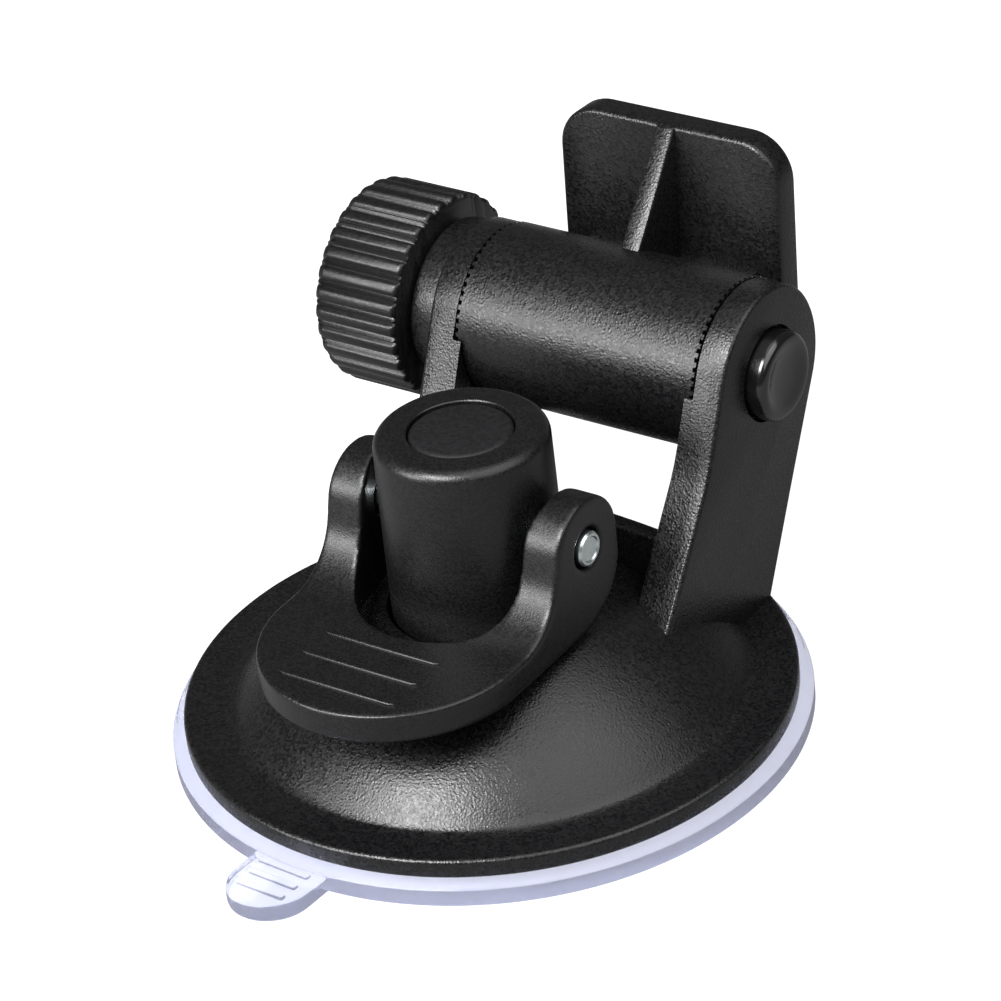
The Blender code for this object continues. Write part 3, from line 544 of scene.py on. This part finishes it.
pin_section = [(0, 14.0), (1.2, 14.0), (1.35, 14.14), (1.6, 14.12), (1.8, 13.9)]
pin_section += [(1.8, -13.9), (1.6, -14.12), (1.35, -14.14), (1.2, -14.0), (0, -14.0)]
pin = moved(spun(pin_section, steps=48, axis="X"), z=PIN_Z)
finish_piece("steel_pin", pin, zinc, "plunger", ["lever_pin"])

# %% [markdown]
# ## The lever
# Seen from above the lever is a letter U: two ears pivot on the pin, and a rounded
# paddle joins them in front. Every edge is softened and every inner corner filled,
# so bevels would have to meet in many awkward places. The shape is cut out with
# exact Booleans first, then rebuilt as an even skin of small squares and smoothed,
# which rounds edges and fills corners together, as the real mould does.

# %% Lever: side view and Booleans
HALF, EAR_THICK, LEVER_EAR = 13.84, 3.6, 5.3
PADDLE_TOP, PADDLE_BOTTOM, CROOK = -5.8, -9.0, 7.0
SLOT_CENTRE, SLOT_RADIUS, PIN_HOLE = -4.2, 9.6, 2.1
LEAN_DEGREES, LIFT, LEVER_SWING, CAM_REACH = 14, 3.3, 80, 9.0
LEAN = math.radians(LEAN_DEGREES)
CAM_SLOPE = LIFT / math.radians(LEVER_SWING)


def cam_point(angle):
    reach = CAM_REACH - CAM_SLOPE * angle
    return (
        reach * math.sin(angle) - CAM_SLOPE * math.cos(angle),
        -reach * math.cos(angle) - CAM_SLOPE * math.sin(angle),
    )


cam = [cam_point(math.radians(90) * step / 20) for step in range(21)]
away = Vector(cam[-1])
touch = math.degrees(math.atan2(away.y, away.x) + math.acos(LEVER_EAR / away.length))
crook_z = PADDLE_TOP + CROOK
crook_y = -(LEVER_EAR + CROOK - crook_z * math.sin(LEAN)) / math.cos(LEAN)
side_view = cam + arc((0, 0), LEVER_EAR, touch, 180 - LEAN_DEGREES, 36)
side_view += arc((crook_y, crook_z), CROOK, -LEAN_DEGREES, -90, 20)
side_view += [(-32, PADDLE_TOP), (-32, PADDLE_BOTTOM)]
lever = slab(side_view, -HALF, HALF, ACROSS_X)
paddle_plan = [(HALF, 9), (-HALF, 9)] + arc((0, -27.7 + HALF), HALF, 180, 360, 64)
lever = combined(lever, slab(paddle_plan, -20, 20), "INTERSECT")
slot_half = HALF - EAR_THICK
slot_plan = [(slot_half, 12), (-slot_half, 12), (-slot_half, -1.5)]
slot_plan += arc((0, SLOT_CENTRE), SLOT_RADIUS, 180, 360, 48) + [(slot_half, -1.5)]
lever = combined(lever, slab(slot_plan, -25, 25), "DIFFERENCE")
lever = combined(lever, rod(PIN_HOLE, -20, 20, sides=48), "DIFFERENCE")
print("lever blank:", len(lever.faces), "faces")

# %% Lever: skin, smoothing and grip ribs
SKIN_CELL, SMOOTHINGS, RIB_FIRST, RIB_PITCH = 0.19, 12, -16.4, 3.8

blank = new_object("lever_blank", lever)
skin_modifier = blank.modifiers.new("Skin", "REMESH")
skin_modifier.mode = "VOXEL"
skin_modifier.voxel_size = SKIN_CELL
lever = bmesh.new()
lever.from_object(blank, bpy.context.evaluated_depsgraph_get())
bpy.data.objects.remove(blank)
for _ in range(SMOOTHINGS):
    bmesh.ops.smooth_vert(
        lever, verts=lever.verts, factor=0.5, use_axis_x=True, use_axis_y=True, use_axis_z=True
    )
for line in range(3):
    y = RIB_FIRST - RIB_PITCH * line
    plan = [(-6.9, y), (-6.2, y - 0.28), (6.2, y - 0.28), (6.9, y), (6.2, y + 0.28), (-6.2, y + 0.28)]
    grip = slab(plan, PADDLE_TOP - 0.3, PADDLE_TOP + 0.3)
    grip = rounded(grip, 0.2, lambda e: min(v.co.z for v in e.verts) > PADDLE_TOP)
    mesh = bpy.data.meshes.new("rib")
    grip.to_mesh(mesh)
    grip.free()
    lever.from_mesh(mesh)
    bpy.data.meshes.remove(mesh)
moved(lever, z=PIN_Z)
finish_piece("lever_fork", lever, fine_abs, "cam_lever", ["lever"])

# %% [markdown]
# ## The barrel and the camera plate
# The barrel is clamped between the ears, and a ring of small teeth on each end keeps
# the angle. The teeth start as a ring of narrow faces inset into the end of a
# cylinder, and every other pair is pushed out. The plate behind it leans back a
# little, and one thin rib braces it.

# %% Barrel with its toothed ends
BARREL, BARREL_HALF, TOOTH, TEETH = 9.2, 14.0, 0.3, 60

barrel = bmesh.new()
bmesh.ops.create_cone(
    barrel, cap_ends=True, segments=4 * TEETH, radius1=BARREL, radius2=BARREL, depth=2 * BARREL_HALF
)
ends = [face for face in barrel.faces if len(face.verts) > 4]
ring_faces = bmesh.ops.inset_region(barrel, faces=ends, thickness=2.6)["faces"]
for side in (-1, 1):
    teeth = []
    for face in ring_faces:
        middle = face.calc_center_median()
        step = math.floor(math.degrees(math.atan2(middle.y, middle.x)) / (90 / TEETH))
        if middle.z * side > 0 and step % 4 < 2:
            teeth.append(face)
    ring_faces = [face for face in ring_faces if face not in teeth]
    pushed = bmesh.ops.extrude_face_region(barrel, geom=teeth)["geom"]
    bmesh.ops.delete(barrel, geom=teeth, context="FACES_ONLY")
    corners = [item for item in pushed if isinstance(item, bmesh.types.BMVert)]
    bmesh.ops.translate(barrel, vec=(0, 0, side * TOOTH), verts=corners)
bmesh.ops.rotate(barrel, matrix=Matrix.Rotation(math.radians(90), 3, "Y"), verts=barrel.verts)
bmesh.ops.recalc_face_normals(barrel, faces=barrel.faces)
print("barrel:", len(barrel.faces), "faces")

# %% Camera plate, neck and rib
PLATE_HALF, PLATE_THICK, PLATE_FRONT, PLATE_LEAN = 13.15, 3.4, 10.0, 3.2
PLATE_TOP, PLATE_BOTTOM, CORNER = 19.6, -4.0, 4.7
NECK_HALF, RIB_HALF, RIB_DROP, RIB_ROOT, RIB_FOOT = 10, 1.1, 0.1, 2.7, 2.4
lean = Matrix.Rotation(math.radians(-PLATE_LEAN), 4, "X")
right_x, upper_z, lower_z = PLATE_HALF - CORNER, PLATE_TOP - CORNER, PLATE_BOTTOM + CORNER
plate_outline = arc((right_x, upper_z), CORNER, 0, 90, 12)
plate_outline += arc((-right_x, upper_z), CORNER, 90, 180, 12)
plate_outline += arc((-right_x, lower_z), CORNER, 180, 270, 12)
plate_outline += arc((right_x, lower_z), CORNER, 270, 360, 12)
plate_middle = PLATE_FRONT + PLATE_THICK / 2
plate = slab(
    plate_outline, -PLATE_THICK / 2, PLATE_THICK / 2,
    lean @ Matrix.Translation((0, plate_middle, 0)) @ ALONG_Y,
)
plate = rounded(plate, 0.45)
neck = block((-NECK_HALF, 4.9, -3.2), (NECK_HALF, plate_middle, 4.5))
neck = rounded(neck, 0.5, lambda e: abs(e.verts[0].co.x - e.verts[1].co.x) > 5)
head = lean @ Vector((0, PLATE_FRONT, PLATE_TOP - RIB_DROP))
back = lean @ Vector((0, plate_middle, PLATE_TOP - RIB_DROP))
rib = [(RIB_ROOT, 6.7), (RIB_ROOT, 8.8), (head.y, head.z), (back.y, back.z)]
rib = slab(rib + [(plate_middle, RIB_FOOT), (RIB_ROOT, RIB_FOOT)], -RIB_HALF, RIB_HALF, ACROSS_X)
rib = rounded(rib, 0.3, lambda e: max(v.co.y for v in e.verts) < head.y + 0.05, 2)
for part in (plate, neck, rib):
    barrel = combined(barrel, part, "UNION")
barrel = combined(barrel, rod(BOLT_BORE, -20, 20), "DIFFERENCE")
moved(barrel, y=PIVOT.y, z=PIVOT.z)
finish_piece("barrel_and_plate", barrel, black_abs, "bracket", ["barrel_plate"])

# %% [markdown]
# ## The bolt
# The bolt's round head is slightly dished. It sits in the right ear's recess, and
# its shank runs through the barrel to the nut in the knob.

# %% Pivot bolt
HEAD, HEAD_TOP, SHANK, SHANK_END = 4.7, 19.7, 2.5, -28.85
bolt_section = [(0, HEAD_TOP - 0.55), (1.6, HEAD_TOP - 0.5), (2.7, HEAD_TOP - 0.33), (3.3, HEAD_TOP - 0.1)]
bolt_section += arc((HEAD - 0.9, HEAD_TOP - 0.9), 0.9, 90, 0, 8)
bolt_section += [(HEAD, 17.1), (HEAD - 0.1, 17.0), (SHANK, 17.0)]
bolt_section += [(SHANK, SHANK_END + 0.4), (SHANK - 0.4, SHANK_END), (0, SHANK_END)]
bolt = moved(spun(bolt_section, steps=96, axis="X"), y=PIVOT.y, z=PIVOT.z)
finish_piece("bolt", bolt, bolt_black, "base", ["pivot_bolt"])

# %% [markdown]
# ## The clamp knob
# The knob has thirty wide, flat lands with a pair of narrow grooves between each
# two. Its outline is a circle whose radius dips at each groove. The outline is
# extruded edge by edge along the axis, and each new ring of points is set to the
# size that it has there, so the grooves fade into the shoulders at both ends.

# %% Clamp knob
KNOB, GROOVE, RIDGES, PER_RIDGE = 10.9, 0.45, 30, 20
KNOB_FACE, KNOB_END = -21.05, -31.45
NUT_HALF, POCKET_DEPTH, KNOB_SHARP = 4.3, 4.6, math.radians(50)
DIPS = [(0.0, 0.0), (0.14, 0.05), (0.24, 0.22), (0.31, 0.75), (0.355, 1.0), (0.41, 0.85), (0.50, 0.35)]


def knob_radius(angle, size, depth):
    """Flat lands with a pair of narrow grooves between them, and a thin line between the two."""
    phase = abs((angle * RIDGES / math.tau) % 1.0 - 0.5)
    for (start, low), (end, high) in zip(DIPS, DIPS[1:]):
        if phase <= end:
            return size - depth * (low + (high - low) * (phase - start) / (end - start))
    return size - depth * DIPS[-1][1]


def knob_ring(verts, x, size, depth):
    for vert in verts:
        angle = math.atan2(vert.co.z, vert.co.y)
        radius = knob_radius(angle, size, depth)
        vert.co = (x, radius * math.cos(angle), radius * math.sin(angle))


stations = [(KNOB_FACE - 0.08, KNOB - 0.25, 0.30), (KNOB_FACE - 0.25, KNOB - 0.06, GROOVE)]
stations += [(KNOB_FACE - 0.5, KNOB, GROOVE), (KNOB_END + 1.2, KNOB, GROOVE)]
stations += [(KNOB_END + 0.8, KNOB - 0.08, GROOVE), (KNOB_END + 0.4, KNOB - 0.3, GROOVE)]
stations += [(KNOB_END + 0.1, KNOB - 0.75, 0.25)]
stations += [(KNOB_END, KNOB - 1.2, 0.0), (KNOB_END, KNOB - 2.6, 0.0), (KNOB_END + 0.6, KNOB - 3.2, 0.0)]
knob = bmesh.new()
bmesh.ops.create_circle(knob, cap_ends=False, radius=KNOB, segments=RIDGES * PER_RIDGE)
bmesh.ops.rotate(knob, matrix=Matrix.Rotation(math.radians(90), 3, "Y"), verts=knob.verts)
knob_ring(knob.verts, KNOB_FACE, KNOB - 0.5, 0.1)
edges, first_ring = list(knob.edges), list(knob.edges)
for x, size, depth in stations:
    grown = bmesh.ops.extrude_edge_only(knob, edges=edges)["geom"]
    edges = [item for item in grown if isinstance(item, bmesh.types.BMEdge)]
    knob_ring([item for item in grown if isinstance(item, bmesh.types.BMVert)], x, size, depth)
bmesh.ops.edgeloop_fill(knob, edges=edges)
bmesh.ops.edgeloop_fill(knob, edges=first_ring)
bmesh.ops.recalc_face_normals(knob, faces=knob.faces)
pocket = rod(NUT_HALF / math.cos(math.radians(30)), KNOB_FACE - POCKET_DEPTH, -10, sides=6)
knob = combined(knob, pocket, "DIFFERENCE")
knob = combined(knob, rod(BOLT_BORE, KNOB_END + 2.0, -10), "DIFFERENCE")
moved(knob, y=PIVOT.y, z=PIVOT.z)
finish_piece(
    "ridged_knob", knob, fine_abs, "knob", ["clamp_knob"], sharp=KNOB_SHARP
)

# %% [markdown]
# ## Pieces that the frame already draws well
# The stem, the washer and the nut hardly show. Their own shapes are right, so they
# only get the materials made above.

# %% Materials for the frame's own pieces
for node, material in (("plunger_stem", black_abs), ("knob_washer", zinc), ("knob_nut", zinc)):
    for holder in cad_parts[node].material_slots:
        holder.material = material
    print(node, "takes", material.name)

# %% [markdown]
# ## Floor, light and camera
# The mount stands on a plain white floor. Its glow is seen only directly and through
# the clear cup, so that the black plastic doesn't mirror a bright ground. Four
# softboxes light the mount. A low one at the front left draws the band along the
# barrel, a high one in front makes the speckled highlight on the dome, a wide one on
# the right lifts the faces that look that way, and a weak one hangs above. The world
# is dark, and the Standard view transform keeps black plastic black.

# %% Floor
FLOOR_HALF, FLOOR_Z, FLOOR_GLOW, WORLD_LIGHT = 3.0, -0.1 * MM, 0.9, 0.10
floor_mesh = bmesh.new()
bmesh.ops.create_grid(floor_mesh, x_segments=1, y_segments=1, size=FLOOR_HALF)
bmesh.ops.translate(floor_mesh, vec=(0, 0, FLOOR_Z), verts=floor_mesh.verts)
floor = new_object("floor", floor_mesh)
paper, tree, output = blank_material("white_paper")
place = add_node(tree, "ShaderNodeTexCoord").outputs["Object"]
fibre = add_node(tree, "ShaderNodeTexNoise", Vector=place, Scale=600, Detail=3.0).outputs["Fac"]
bump = add_node(tree, "ShaderNodeBump", Height=fibre, Strength=0.05, Distance=0.05 * MM)
matt = add_node(tree, "ShaderNodeBsdfPrincipled", Roughness=0.9, Normal=bump.outputs["Normal"])
matt.inputs["Base Color"].default_value = linear("#787878")
glow = add_node(tree, "ShaderNodeEmission", Strength=FLOOR_GLOW)
rays = add_node(tree, "ShaderNodeLightPath").outputs
seen = add_node(tree, "ShaderNodeMath", {"operation": "MAXIMUM"})
tree.links.new(rays["Is Camera Ray"], seen.inputs[0])
tree.links.new(rays["Is Transmission Ray"], seen.inputs[1])
only_seen = add_node(tree, "ShaderNodeMixShader")
tree.links.new(seen.outputs[0], only_seen.inputs[0])
tree.links.new(glow.outputs[0], only_seen.inputs[2])
both = add_node(tree, "ShaderNodeAddShader")
tree.links.new(matt.outputs["BSDF"], both.inputs[0])
tree.links.new(only_seen.outputs[0], both.inputs[1])
tree.links.new(both.outputs[0], output.inputs["Surface"])
floor.data.materials.append(paper)

# %% Lights
LIT_POINT = Vector((0, 0, 20 * MM))


def softbox(name, towards, distance, size, power):
    lamp = bpy.data.lights.new(name, "AREA")
    lamp.shape = "RECTANGLE"
    lamp.size, lamp.size_y = size
    lamp.energy = power
    holder = bpy.data.objects.new(name, lamp)
    bpy.context.scene.collection.objects.link(holder)
    direction = Vector(towards).normalized()
    holder.location = LIT_POINT + direction * distance
    holder.rotation_euler = direction.to_track_quat("Z", "Y").to_euler()


softbox("front_left_box", (-0.50, -0.79, 0.35), 0.70, (0.34, 0.22), 4.2)
softbox("front_high_box", (-0.08, -0.66, 0.72), 0.70, (0.38, 0.30), 10.5)
softbox("right_box", (0.62, -0.05, 0.78), 0.80, (0.90, 0.70), 5.5)
softbox("top_box", (0.10, 0.10, 1.0), 0.80, (0.60, 0.60), 1.5)
world = bpy.data.worlds.new("studio")
world.use_nodes = True
world.node_tree.nodes["Background"].inputs["Color"].default_value = (1, 1, 1, 1)
world.node_tree.nodes["Background"].inputs["Strength"].default_value = WORLD_LIGHT
bpy.context.scene.world = world
bpy.context.scene.view_settings.view_transform = "Standard"

# %% Camera
AZIMUTH, ELEVATION, ROLL = (math.radians(angle) for angle in (37.42, 31.41, -6.53))
AWAY, SIDE, RISE, LENS = 455.9, 3.05, 0.38, 166.7
back = Vector((
    math.sin(AZIMUTH) * math.cos(ELEVATION),
    -math.cos(AZIMUTH) * math.cos(ELEVATION),
    math.sin(ELEVATION),
))
level = Vector((math.cos(AZIMUTH), math.sin(AZIMUTH), 0))
upright_axis = back.cross(level)
across = math.cos(ROLL) * level + math.sin(ROLL) * upright_axis
above = -math.sin(ROLL) * level + math.cos(ROLL) * upright_axis
eye = (Vector((0, 0, 25)) + back * AWAY + across * SIDE + above * RISE) * MM
camera_data = bpy.data.cameras.new("camera")
camera_data.lens = LENS
camera_data.sensor_width = 36
camera_data.clip_start = 0.01
camera = bpy.data.objects.new("camera", camera_data)
bpy.context.scene.collection.objects.link(camera)
turn = Matrix((across, above, back)).transposed()
camera.matrix_world = Matrix.Translation(eye) @ turn.to_4x4()
bpy.context.scene.camera = camera
print("camera at", [round(value, 4) for value in eye])
